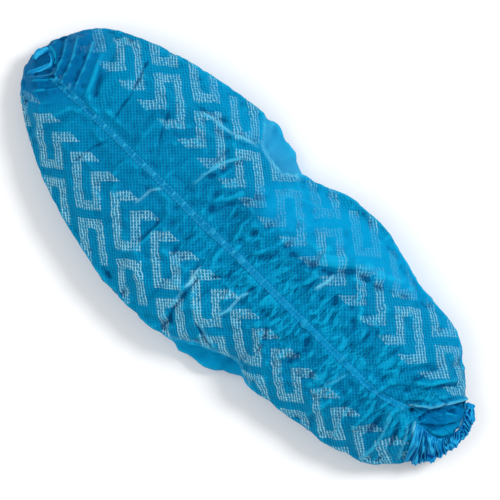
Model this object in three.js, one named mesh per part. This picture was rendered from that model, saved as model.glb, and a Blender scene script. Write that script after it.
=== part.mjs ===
// A disposable non-woven shoe cover, lying empty with its sole up and its foot opening down.
// Millimetres. +X runs to the toe, +Y to the side called left here, and +Z up from the surface
// that the cover lies on. The origin is the middle of its footprint.
import * as THREE from "three";

// Driving dimensions
const coverLength = 380;
const clothWall = 1.2;
const pieceGap = 0.4;
const seamWidth = 5.5;
const seamThickness = 0.8;

// The sole's seam ends on top, short of the two tips
const seamToeX = 172;
const seamHeelX = -166;

// The gathered hem: a flat casing round the mouth, level under the sole and turned out at the tips
const mouthToeX = 183;
const mouthHeelX = -180;
const mouthHalfWidth = 35;
const mouthBluntness = 0.8; // 1 is an ellipse, and less fills out its ends
const casingHalfWidth = 4.6;
const casingHalfThickness = 1.9;
const casingHeight = 3.2; // height of the casing's middle over the surface
const gatherDepth = 0.8;
const gathersPerSide = 14;
const casingTurnToe = 95; // degrees from level inwards, at the toe's tip
const casingTurnHeel = 140; // the same at the heel's tip, where it shows past the sole's end

// Grid of each panel: steps along the seam, and steps from the seam to the hem
const alongSteps = 56;
const acrossSteps = 15;
const casingSides = 8;
const seamEndSteps = 8; // steps at each end that the flat weld leaves free

// A row for each section. at: place along the half length, heel -1 to toe +1.
// left, right: half widths of the sole before the ends round off. seam: the seam's Y.
// top: height of the sole along its seam. leftWall, rightWall: how far the plain wall
// under the sole's edge stands out past it.
const sections = [
  { at: -1.0, left: 74, right: 78, seam: -4, top: 31, leftWall: 0, rightWall: 0 },
  { at: -0.9, left: 83, right: 84, seam: 3, top: 38, leftWall: 0, rightWall: 0 },
  { at: -0.75, left: 79, right: 82, seam: 9, top: 45, leftWall: 0, rightWall: 0 },
  { at: -0.55, left: 70, right: 72, seam: 9, top: 49, leftWall: 0, rightWall: 1 },
  { at: -0.35, left: 66, right: 71, seam: 8, top: 50, leftWall: 3, rightWall: 6 },
  { at: -0.2, left: 64, right: 72, seam: 7, top: 49, leftWall: 10, rightWall: 4 },
  { at: -0.05, left: 74, right: 64, seam: 6, top: 49, leftWall: 5, rightWall: 1 },
  { at: 0.1, left: 80, right: 58, seam: 6, top: 50, leftWall: 1, rightWall: 8 },
  { at: 0.2, left: 82, right: 60, seam: 6, top: 51, leftWall: 1, rightWall: 15 },
  { at: 0.32, left: 82, right: 76, seam: 5, top: 52, leftWall: 1, rightWall: 3 },
  { at: 0.55, left: 77, right: 79, seam: 4, top: 51, leftWall: 0, rightWall: 0 },
  { at: 0.75, left: 73, right: 83, seam: 3, top: 46, leftWall: 0, rightWall: 0 },
  { at: 0.9, left: 69, right: 92, seam: 3, top: 39, leftWall: 0, rightWall: 0 },
  { at: 1.0, left: 62, right: 90, seam: 3, top: 31, leftWall: 0, rightWall: 0 },
];

// Main folds. side: 1 left panel, -1 right. at: where the fold crosses the sole's edge.
// lean: how far it shifts along by the seam. half: half its breadth, as a share of the half length.
// from, to: its stretch from seam (0) to hem (1). depth: millimetres outwards, or inwards below zero.
const folds = [
  { side: 1, at: 0.95, lean: -0.05, half: 0.035, from: 0.04, to: 0.45, depth: 3.2 },
  { side: 1, at: 0.86, lean: -0.05, half: 0.035, from: 0.05, to: 0.4, depth: 3.0 },
  { side: -1, at: 0.96, lean: -0.06, half: 0.03, from: 0.04, to: 0.5, depth: 3.4 },
  { side: -1, at: 0.89, lean: -0.07, half: 0.035, from: 0.04, to: 0.5, depth: 3.4 },
  { side: -1, at: 0.8, lean: -0.07, half: 0.035, from: 0.05, to: 0.45, depth: 3.2 },
  { side: 1, at: 0.05, lean: 0.03, half: 0.04, from: 0.1, to: 0.6, depth: -4.0 },
  { side: 1, at: -0.24, lean: 0.05, half: 0.07, from: 0.14, to: 0.38, depth: -2.5 },
  { side: -1, at: 0.07, lean: 0.12, half: 0.06, from: 0.1, to: 0.42, depth: -3.5 },
  { side: -1, at: -0.6, lean: 0.5, half: 0.05, from: 0.1, to: 0.5, depth: -3.0 },
  { side: 1, at: -0.8, lean: 0.05, half: 0.03, from: 0.05, to: 0.5, depth: -2.6 },
  { side: 1, at: -0.9, lean: 0.06, half: 0.03, from: 0.05, to: 0.45, depth: 2.6 },
  { side: -1, at: -0.84, lean: 0.16, half: 0.035, from: 0.05, to: 0.5, depth: 3.5 },
  { side: -1, at: -0.94, lean: 0.16, half: 0.035, from: 0.05, to: 0.45, depth: -4.0 },
];
const foldEdge = 0.4; // where the sole's edge lies between seam and hem
const foldStart = 0.12; // stretch over which a fold grows from nothing
const foldEnd = 0.15;

// Heights in a section, as shares of its sole's height, and places from seam or wall to edge or mouth
const crownShare = 0.95;
const crownPlace = 0.55;
const edgeShare = 0.56;
const tuckShare = 0.42;
const wallShare = 0.25;
const contactStartPlace = 0.16;
const contactEndPlace = 0.78;
const edgeRound = 2; // how far the sole's edge stands out past a wall that doesn't show
const tuckDepth = 0.4; // how far the tuck goes back in, as a share of how far its wall stands out
const tipStart = 0.75; // place along the half length where the section starts to close to the tip
const liftRate = 2.5; // how much sooner the cloth leaves the surface than the section closes
const tipClearance = 2; // how far the cloth stays over the turned hem at a tip
const tipWallDrop = 0.6; // where a tip's wall lies between its edge's height and its hem's
const tipWallPull = 0.3; // how far it is drawn in towards the hem
const turnStep = 0.01; // half the stretch that gives the casing's direction

function smoothStep(t) {
  const s = Math.min(Math.max(t, 0), 1);
  return s * s * (3 - 2 * s);
}

function between(low, high, share) {
  return low + (high - low) * share;
}

// 0 along most of the cover, 1 at either tip
function tipShareAt(at) {
  return smoothStep((Math.abs(at) - tipStart) / (1 - tipStart));
}

// Value of a column at a place, on a smooth curve through the rows
function columnAt(column, at) {
  let i = 0;
  while (i < sections.length - 2 && at > sections[i + 1].at) i++;
  const before = sections[Math.max(i - 1, 0)];
  const start = sections[i];
  const end = sections[i + 1];
  const after = sections[Math.min(i + 2, sections.length - 1)];
  const span = end.at - start.at;
  const startSlope = ((end[column] - before[column]) / (end.at - before.at)) * span;
  const endSlope = ((after[column] - start[column]) / (after.at - start.at)) * span;
  const t = Math.min(Math.max((at - start.at) / span, 0), 1);
  const fall = 2 * t * t * t - 3 * t * t + 1;
  const startPull = t * (1 - t) * (1 - t);
  const endPull = t * t * (t - 1);
  return fall * start[column] + startPull * startSlope + (1 - fall) * end[column] + endPull * endSlope;
}

// The mouth's outline on one side, where the panel meets the casing, seen from above.
// turn runs from 0 at the toe's tip to PI at the heel's.
function mouthPoint(side, turn) {
  const at = Math.cos(turn);
  const x = between(mouthHeelX, mouthToeX, (1 + at) / 2);
  const halfWidth = mouthHalfWidth * Math.pow(Math.sin(turn), mouthBluntness);
  const y = columnAt("seam", at) * tipShareAt(at) + side * (halfWidth + pieceGap / 2);
  return new THREE.Vector3(x, y, 0);
}

// The casing's attached edge there, the way it runs out to its free edge, and the way it is thick
function casingFrame(side, turn) {
  const at = Math.cos(turn);
  const toeward = mouthPoint(side, Math.max(turn - turnStep, 0));
  const along = toeward.sub(mouthPoint(side, Math.min(turn + turnStep, Math.PI))).normalize();
  const inward = new THREE.Vector3(along.y, -along.x, 0).multiplyScalar(side);
  const fullTurn = at > 0 ? casingTurnToe : casingTurnHeel;
  const turned = THREE.MathUtils.degToRad(fullTurn * tipShareAt(at));
  const free = inward.clone().multiplyScalar(Math.cos(turned)).setZ(-Math.sin(turned));
  const thick = inward.clone().multiplyScalar(Math.sin(turned)).setZ(Math.cos(turned));
  const attached = mouthPoint(side, turn);
  attached.z = casingHeight + 2 * casingHalfWidth * Math.sin(turned);
  return { attached, free, thick };
}

// The curve of one section, from the sole's seam out over the edge and under to the casing
function sectionCurve(side, turn) {
  const at = Math.cos(turn);
  const roundness = Math.sin(turn);
  const tipShare = tipShareAt(at);
  const top = columnAt("top", at);
  const halfWidth = columnAt(side > 0 ? "left" : "right", at);
  const wallOut = Math.max(columnAt(side > 0 ? "leftWall" : "rightWall", at), 0);
  const seamY = columnAt("seam", at);
  const hem = casingFrame(side, turn).attached;
  const outward = new THREE.Vector3(at / 2, side * roundness, 0).normalize();

  const seamX = between(seamHeelX, seamToeX, (1 + at) / 2);
  const seam = new THREE.Vector3(seamX, seamY + (side * pieceGap) / 2, top);
  const edgeY = seamY * tipShare + side * (halfWidth * roundness + pieceGap / 2);
  const edge = new THREE.Vector3((coverLength / 2) * at, edgeY, top * edgeShare);
  const crown = seam.clone().lerp(edge, crownPlace).setZ(top * crownShare);
  const tuckOut = (edgeRound / 2 - wallOut * tuckDepth) * roundness;
  const tuck = edge.clone().addScaledVector(outward, tuckOut).setZ(top * tuckShare);
  const wall = edge.clone().addScaledVector(outward, (wallOut - edgeRound) * roundness);
  wall.z = between(top * wallShare, between(edge.z, hem.z, tipWallDrop), tipShare);
  wall.lerp(hem.clone().setZ(wall.z), tipShare * tipWallPull);
  const contactZ = (hem.z + tipClearance) * smoothStep(liftRate * tipShare);
  const contactStart = wall.clone().lerp(hem, contactStartPlace).setZ(contactZ);
  const contactEnd = wall.clone().lerp(hem, contactEndPlace).setZ(contactZ);
  tuck.z = between(tuck.z, (edge.z + wall.z) / 2, tipShare);
  const line = [seam, crown, edge, tuck, wall, contactStart, contactEnd, hem];
  return new THREE.CatmullRomCurve3(line, false, "centripetal");
}

// How far the folds push the cloth out at one place of a panel
function foldDepth(side, at, across) {
  let depth = 0;
  for (const fold of folds) {
    if (fold.side !== side) continue;
    const grown = smoothStep((across - fold.from) / foldStart) * smoothStep((fold.to - across) / foldEnd);
    const centre = fold.at + fold.lean * (1 - across / foldEdge);
    depth += fold.depth * grown * smoothStep(1 - Math.abs(at - centre) / fold.half);
  }
  return depth;
}

// Points and outward normals of a panel's outer face, on a grid
function panelGrid(side) {
  const turnAt = (i) => (Math.PI * i) / alongSteps;
  const rows = [];
  for (let i = 0; i <= alongSteps; i++) {
    rows.push(sectionCurve(side, turnAt(i)).getSpacedPoints(acrossSteps));
  }
  const points = rows.map((row, i) =>
    row.map((point, j) => {
      const onTip = i === 0 || i === alongSteps;
      const depth = onTip ? 0 : foldDepth(side, Math.cos(turnAt(i)), j / acrossSteps);
      const moved = point.clone().addScaledVector(normalAt(rows, side, i, j), depth);
      return moved.setZ(Math.max(moved.z, 0));
    }),
  );
  const normals = points.map((row, i) => row.map((_, j) => normalAt(points, side, i, j)));
  return { points, normals };
}

// Outward normal at one grid point. On the joint with the other panel it stays in the joint's plane.
function normalAt(rows, side, i, j) {
  const before = rows[Math.max(i - 1, 0)][j];
  const after = rows[Math.min(i + 1, alongSteps)][j];
  const inner = rows[i][Math.max(j - 1, 0)];
  const outer = rows[i][Math.min(j + 1, acrossSteps)];
  if (i > 0 && i < alongSteps && j > 0) {
    const across = outer.clone().sub(inner);
    return across.cross(after.clone().sub(before)).multiplyScalar(side).normalize();
  }
  const onToe = i === 0;
  const onHeel = i === alongSteps;
  const start = onToe ? outer : onHeel && j > 0 ? inner : before;
  const end = onHeel ? outer : onToe && j > 0 ? inner : after;
  return new THREE.Vector3(end.z - start.z, 0, start.x - end.x).normalize();
}

// Bends a box of grid cells into a solid: a function places each corner from its three shares
function bentBox(stepsA, stepsB, stepsC, place) {
  const geometry = new THREE.BoxGeometry(1, 1, 1, stepsA, stepsB, stepsC);
  const position = geometry.getAttribute("position");
  for (let k = 0; k < position.count; k++) {
    const point = place(position.getX(k) + 0.5, position.getY(k) + 0.5, position.getZ(k) + 0.5);
    position.setXYZ(k, point.x, point.y, point.z);
  }
  geometry.computeVertexNormals();
  return geometry;
}

// One half of the cover: a thin cloth wall from the sole's seam to the hem
function panelGeometry(side) {
  const { points, normals } = panelGrid(side);
  return bentBox(alongSteps, acrossSteps, 1, (a, b, c) => {
    // The right panel counts the other way along, which keeps its faces pointing out
    const i = Math.round((side > 0 ? 1 - a : a) * alongSteps);
    const j = Math.round(b * acrossSteps);
    return points[i][j].clone().addScaledVector(normals[i][j], -clothWall * (1 - c));
  });
}

// The flat weld that joins the two panels along the sole, just clear of both
function seamGeometry() {
  const grids = [panelGrid(-1), panelGrid(1)];
  const steps = alongSteps - 2 * seamEndSteps;
  return bentBox(steps, 2, 1, (a, b, c) => {
    const i = seamEndSteps + Math.round((1 - a) * steps);
    const { points, normals } = grids[b < 0.5 ? 0 : 1];
    const reach = (Math.abs(b - 0.5) * seamWidth) / points[i][0].distanceTo(points[i][1]);
    const normal = normals[i][0].clone().lerp(normals[i][1], reach).normalize();
    const point = points[i][0].clone().lerp(points[i][1], reach);
    return point.addScaledVector(normal, pieceGap + c * seamThickness);
  });
}

// Half of the gathered hem with the elastic inside, from the toe's tip to the heel's
function hemGeometry(side) {
  const geometry = new THREE.CylinderGeometry(1, 1, 1, casingSides, alongSteps);
  const position = geometry.getAttribute("position");
  for (let k = 0; k < position.count; k++) {
    const turn = Math.PI * (0.5 - position.getY(k));
    const { attached, free, thick } = casingFrame(side, turn);
    const reach = pieceGap + casingHalfWidth * (1 + side * position.getX(k));
    const gather = gatherDepth * Math.cos(2 * gathersPerSide * turn);
    const point = attached.addScaledVector(free, reach);
    point.addScaledVector(thick, position.getZ(k) * casingHalfThickness + gather);
    position.setXYZ(k, point.x, point.y, point.z);
  }
  geometry.computeVertexNormals();
  return geometry;
}

function namedMesh(name, geometry, material) {
  const mesh = new THREE.Mesh(geometry, material);
  mesh.name = name;
  return mesh;
}

const cloth = new THREE.MeshStandardMaterial({ color: 0x0a7fbd, roughness: 0.75, metalness: 0 });
const weld = new THREE.MeshStandardMaterial({ color: 0x0c8fcf, roughness: 0.6, metalness: 0 });
const gatheredCloth = new THREE.MeshStandardMaterial({ color: 0x0b86cc, roughness: 0.8, metalness: 0 });

const pieces = new THREE.Group();
pieces.add(namedMesh("left_panel", panelGeometry(1), cloth));
pieces.add(namedMesh("right_panel", panelGeometry(-1), cloth));
pieces.add(namedMesh("sole_seam", seamGeometry(), weld));
pieces.add(namedMesh("left_hem", hemGeometry(1), gatheredCloth));
pieces.add(namedMesh("right_hem", hemGeometry(-1), gatheredCloth));

// The two sides bulge differently, so the pieces are moved to put the footprint's middle on the origin
const middle = new THREE.Box3().setFromObject(pieces).getCenter(new THREE.Vector3());
pieces.position.set(-middle.x, -middle.y, 0);

const shoeCover = new THREE.Group();
shoeCover.add(pieces);

export default shoeCover;
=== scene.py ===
import math
import random

import bmesh
import bpy
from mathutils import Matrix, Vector, noise
from mathutils.bvhtree import BVHTree
from mathutils.kdtree import KDTree


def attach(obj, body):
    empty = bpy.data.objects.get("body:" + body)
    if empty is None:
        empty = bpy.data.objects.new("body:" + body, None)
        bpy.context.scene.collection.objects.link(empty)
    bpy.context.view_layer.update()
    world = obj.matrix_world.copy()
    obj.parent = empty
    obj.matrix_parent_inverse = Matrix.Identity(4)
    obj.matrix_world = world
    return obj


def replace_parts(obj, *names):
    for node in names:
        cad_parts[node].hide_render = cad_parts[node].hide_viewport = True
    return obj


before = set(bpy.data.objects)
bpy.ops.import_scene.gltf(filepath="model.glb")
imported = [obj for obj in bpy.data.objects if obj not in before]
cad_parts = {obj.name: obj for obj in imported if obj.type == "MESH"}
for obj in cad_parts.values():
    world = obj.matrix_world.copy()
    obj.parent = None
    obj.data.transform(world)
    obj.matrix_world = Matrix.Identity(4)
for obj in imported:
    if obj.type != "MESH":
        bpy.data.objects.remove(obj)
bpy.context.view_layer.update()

# A disposable shoe cover, lying empty with its sole up. Lengths below are in millimetres of the real
# cover, with x towards the toe, and become metres when a mesh is finished.

metres = 0.001


# Small helpers

def clamp(value, low=0.0, high=1.0):
    return min(max(value, low), high)


def smoothStep(t):
    s = clamp(t)
    return s * s * (3 - 2 * s)


def between(low, high, share):
    return low + (high - low) * share


def bump(value, start, full, fade, end):  # 0 outside start..end, 1 between full and fade
    return smoothStep((value - start) / (full - start)) * (1 - smoothStep((value - fade) / (end - fade)))


def tableValue(table, column, at):  # smooth curve through a table's column
    places, values = table["at"], table[column]
    i = 0
    while i < len(places) - 2 and at > places[i + 1]:
        i += 1
    before, after = max(i - 1, 0), min(i + 2, len(places) - 1)
    span = places[i + 1] - places[i]
    startSlope = (values[i + 1] - values[before]) / (places[i + 1] - places[before]) * span
    endSlope = (values[after] - values[i]) / (places[after] - places[i]) * span
    t = clamp((at - places[i]) / span)
    fall = 2 * t ** 3 - 3 * t ** 2 + 1
    pull = t * (1 - t) * ((1 - t) * startSlope - t * endSlope)
    return fall * values[i] + (1 - fall) * values[i + 1] + pull


def smoothLine(points, count):  # evenly spaced places on a curve through the points
    chords = [max((b - a).length, 0.01) for a, b in zip(points, points[1:])]
    slopes = [(points[1] - points[0]) / chords[0]]
    for i in range(1, len(points) - 1):
        slopes.append((points[i + 1] - points[i - 1]) / (chords[i - 1] + chords[i]))
    slopes.append((points[-1] - points[-2]) / chords[-1])
    fine = []
    pieces = 10
    for i, chord in enumerate(chords):
        for k in range(pieces):
            t = k / pieces
            fall = 2 * t ** 3 - 3 * t ** 2 + 1
            here = points[i] * fall + points[i + 1] * (1 - fall)
            here = here + slopes[i] * (chord * t * (1 - t) ** 2) - slopes[i + 1] * (chord * t * t * (1 - t))
            fine.append(here)
    fine.append(points[-1].copy())
    return spacedLine(fine, count)


def spacedLine(fine, count):
    reached = [0.0]
    for a, b in zip(fine, fine[1:]):
        reached.append(reached[-1] + (b - a).length)
    line, k = [], 0
    for n in range(count + 1):
        goal = reached[-1] * n / count
        while k < len(fine) - 2 and reached[k + 1] < goal:
            k += 1
        step = max(reached[k + 1] - reached[k], 1e-6)
        line.append(fine[k].lerp(fine[k + 1], clamp((goal - reached[k]) / step)))
    return line


def evened(row, times):  # heights evened along a line
    last = len(row) - 1
    for _ in range(times):
        row = [(row[max(k - 1, 0)] + 2 * row[k] + row[min(k + 1, last)]) / 4 for k in range(last + 1)]
    return row


def meshFrom(bm, name):
    mesh = bpy.data.meshes.new(name)
    bm.to_mesh(mesh)
    bm.free()
    return mesh


def addObject(name, data):
    made = bpy.data.objects.new(name, data)
    bpy.context.scene.collection.objects.link(made)
    return made


# The cover's shape
# crown, edge, tuck and wall are heights as shares of the sole's height, and tipStart, contactFrom
# and contactTo are shares of the way to the tip and of the way from the wall to the hem.

cover = {
    "toeTip": 190,
    "heelTip": -185,         # the ruffle stands past it
    "middleY": 3.9,          # the footprint's middle, from the line between the tips
    "seamToe": 172,
    "seamHeel": -166,
    "mouthToe": 182,
    "mouthHeel": -178,
    "mouthHalfWidth": 35,
    "mouthBluntness": 0.8,
    "casingHeight": 3.2,
    "hemRise": 9,            # how far the hem climbs at the tips
    "hemTurn": 95,           # how far it turns over there, in degrees
    "tipStart": 0.75,
    "crown": 0.95,
    "crownPlace": 0.55,
    "edge": 0.56,
    "tuck": 0.42,
    "wall": 0.25,
    "edgeRound": 2,
    "tuckDepth": 0.5,
    "contactFrom": 0.16,
    "contactTo": 0.78,
    "soleEnds": 0.6,         # the sole is all above this share of its height
    "cloth": 0.32,           # thickness
    "alongSteps": 420,
    "acrossSteps": 116,
}

sections = {
    "at": (-1, -0.9, -0.75, -0.55, -0.42, -0.33, -0.29, -0.24, -0.165, -0.093, -0.03, 0.03, 0.087, 0.13, 0.16,
           0.2, 0.24, 0.28, 0.42, 0.55, 0.75, 0.9, 1),
    "left": (72, 81, 79, 70, 67, 66, 63, 60, 63, 69, 75, 77, 78, 78.5, 79,
             79.5, 80, 79.5, 77.5, 76, 73, 67, 58),
    "right": (78, 84, 82, 73, 74.5, 76, 76, 75, 73, 69, 65, 62, 55.5, 56, 58,
              61.5, 71, 76, 77, 79, 84, 95, 92),
    "seam": (-4, 3, 9, 9, 8.3, 8, 7.8, 7.4, 7, 6.5, 6, 6, 6, 6, 6,
             6, 5.8, 5.3, 4.5, 4, 3, 3, 3),
    "top": (27, 36, 45, 49, 49.5, 49.7, 49.5, 49.3, 49, 49, 49.3, 50, 50, 50.5, 51,
            51, 51.3, 51.5, 51.5, 51, 46, 38, 29),
    "leftWall": (0, 0, 0, 0, 1, 3, 6, 13, 14, 10, 4, 2, 1, 1, 1,
                 1, 1, 0, 0, 0, 0, 0, 0),
    "rightWall": (0, 0, 0, 1, 1, 1, 1, 1, 1, 1, 1, 3, 14, 17, 17.5,
                  17, 7, 2, 0, 0, 0, 0, 0),
}


def tipX(at):
    return cover["toeTip"] * at if at > 0 else -cover["heelTip"] * at


def tipShare(at):
    return smoothStep((abs(at) - cover["tipStart"]) / (1 - cover["tipStart"]))


def mouthPoint(side, turn, lift=0.0):
    at = math.cos(turn)
    x = between(cover["mouthHeel"], cover["mouthToe"], (1 + at) / 2)
    half = cover["mouthHalfWidth"] * math.sin(turn) ** cover["mouthBluntness"] if 0 < turn < math.pi else 0
    return Vector((x, tableValue(sections, "seam", at) * tipShare(at) + side * half, lift))


def hemHeight(at):
    return cover["casingHeight"] + cover["hemRise"] * math.sin(math.radians(cover["hemTurn"] * tipShare(at)))


def sectionLine(side, turn, count):  # one section of the cloth, from the sole's seam to the hem
    at = math.cos(turn)
    roundness = math.sin(turn)
    tip = tipShare(at)
    top = tableValue(sections, "top", at)
    half = tableValue(sections, "left" if side > 0 else "right", at)
    wallOut = max(tableValue(sections, "leftWall" if side > 0 else "rightWall", at), 0)
    seamY = tableValue(sections, "seam", at)
    hem = mouthPoint(side, turn, hemHeight(at))
    outward = Vector((at / 2, side * roundness, 0)).normalized()
    seam = Vector((between(cover["seamHeel"], cover["seamToe"], (1 + at) / 2), seamY, top))
    edge = Vector((tipX(at), seamY * tip + side * half * roundness, top * cover["edge"]))
    crown = seam.lerp(edge, cover["crownPlace"])
    crown.z = top * cover["crown"]
    tuck = edge + outward * ((cover["edgeRound"] / 2 - wallOut * cover["tuckDepth"]) * roundness)
    wall = edge + outward * ((wallOut - cover["edgeRound"]) * roundness)
    wall.z = between(top * cover["wall"], between(edge.z, hem.z, 0.6), tip)
    wall = wall.lerp(Vector((hem.x, hem.y, wall.z)), tip * 0.3)
    tuck.z = between(top * cover["tuck"], (edge.z + wall.z) / 2, tip)
    contactZ = between(cover["cloth"], hem.z + 2, smoothStep(2.5 * tip))
    contactStart = wall.lerp(hem, cover["contactFrom"])
    contactStart.z = contactZ
    contactEnd = wall.lerp(hem, cover["contactTo"])
    contactEnd.z = contactZ
    return smoothLine([seam, crown, edge, tuck, wall, contactStart, contactEnd, hem], count)


def evenTurns(count):  # turns that space the sections evenly along the outline
    fine, samples = [], 720
    for k in range(samples + 1):  # each turn rides along as a height too small to change a length
        turn = math.pi * k / samples
        at = math.cos(turn)
        half = (tableValue(sections, "left", at) + tableValue(sections, "right", at)) / 2
        fine.append(Vector((tipX(at), half * math.sin(turn), turn * 1e-3)))
    return [p.z * 1e3 for p in spacedLine(fine, count)]


# Folds
# Each fold follows a line of places on the sole. wide is its half width, high its height (below
# zero it is a valley), lean tips it over to its left side, fade is how long its ends taper, and
# glint is how much light its edge catches.

foldShape = {
    "reach": 3,              # how far it is felt, in half widths
    "tent": 1.9,             # half the foot of its sharp part, in half widths
    "tentPower": 1.3,
    "tentShare": 0.7,
    "domeShare": 0.3,
    "glintWide": 0.75,
    "wander": 13,            # length of the small waves in its line
    "room": 4,               # how far past the sole's edge it may run
}


def fold(places, wide, high, lean=0.0, fade=6.0, glint=0.0):
    points = [Vector((x, y)) for x, y in places]
    spans = []
    reached = 0.0
    for a, b in zip(points, points[1:]):
        spans.append((a, b - a, (b - a).length, reached))
        reached += (b - a).length
    reach = foldShape["reach"] * wide
    low = Vector((min(p.x for p in points) - reach, min(p.y for p in points) - reach))
    top = Vector((max(p.x for p in points) + reach, max(p.y for p in points) + reach))
    return {"spans": spans, "total": reached, "wide": wide, "high": high, "lean": lean, "fade": fade,
            "glint": glint, "low": low, "top": top}


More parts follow.
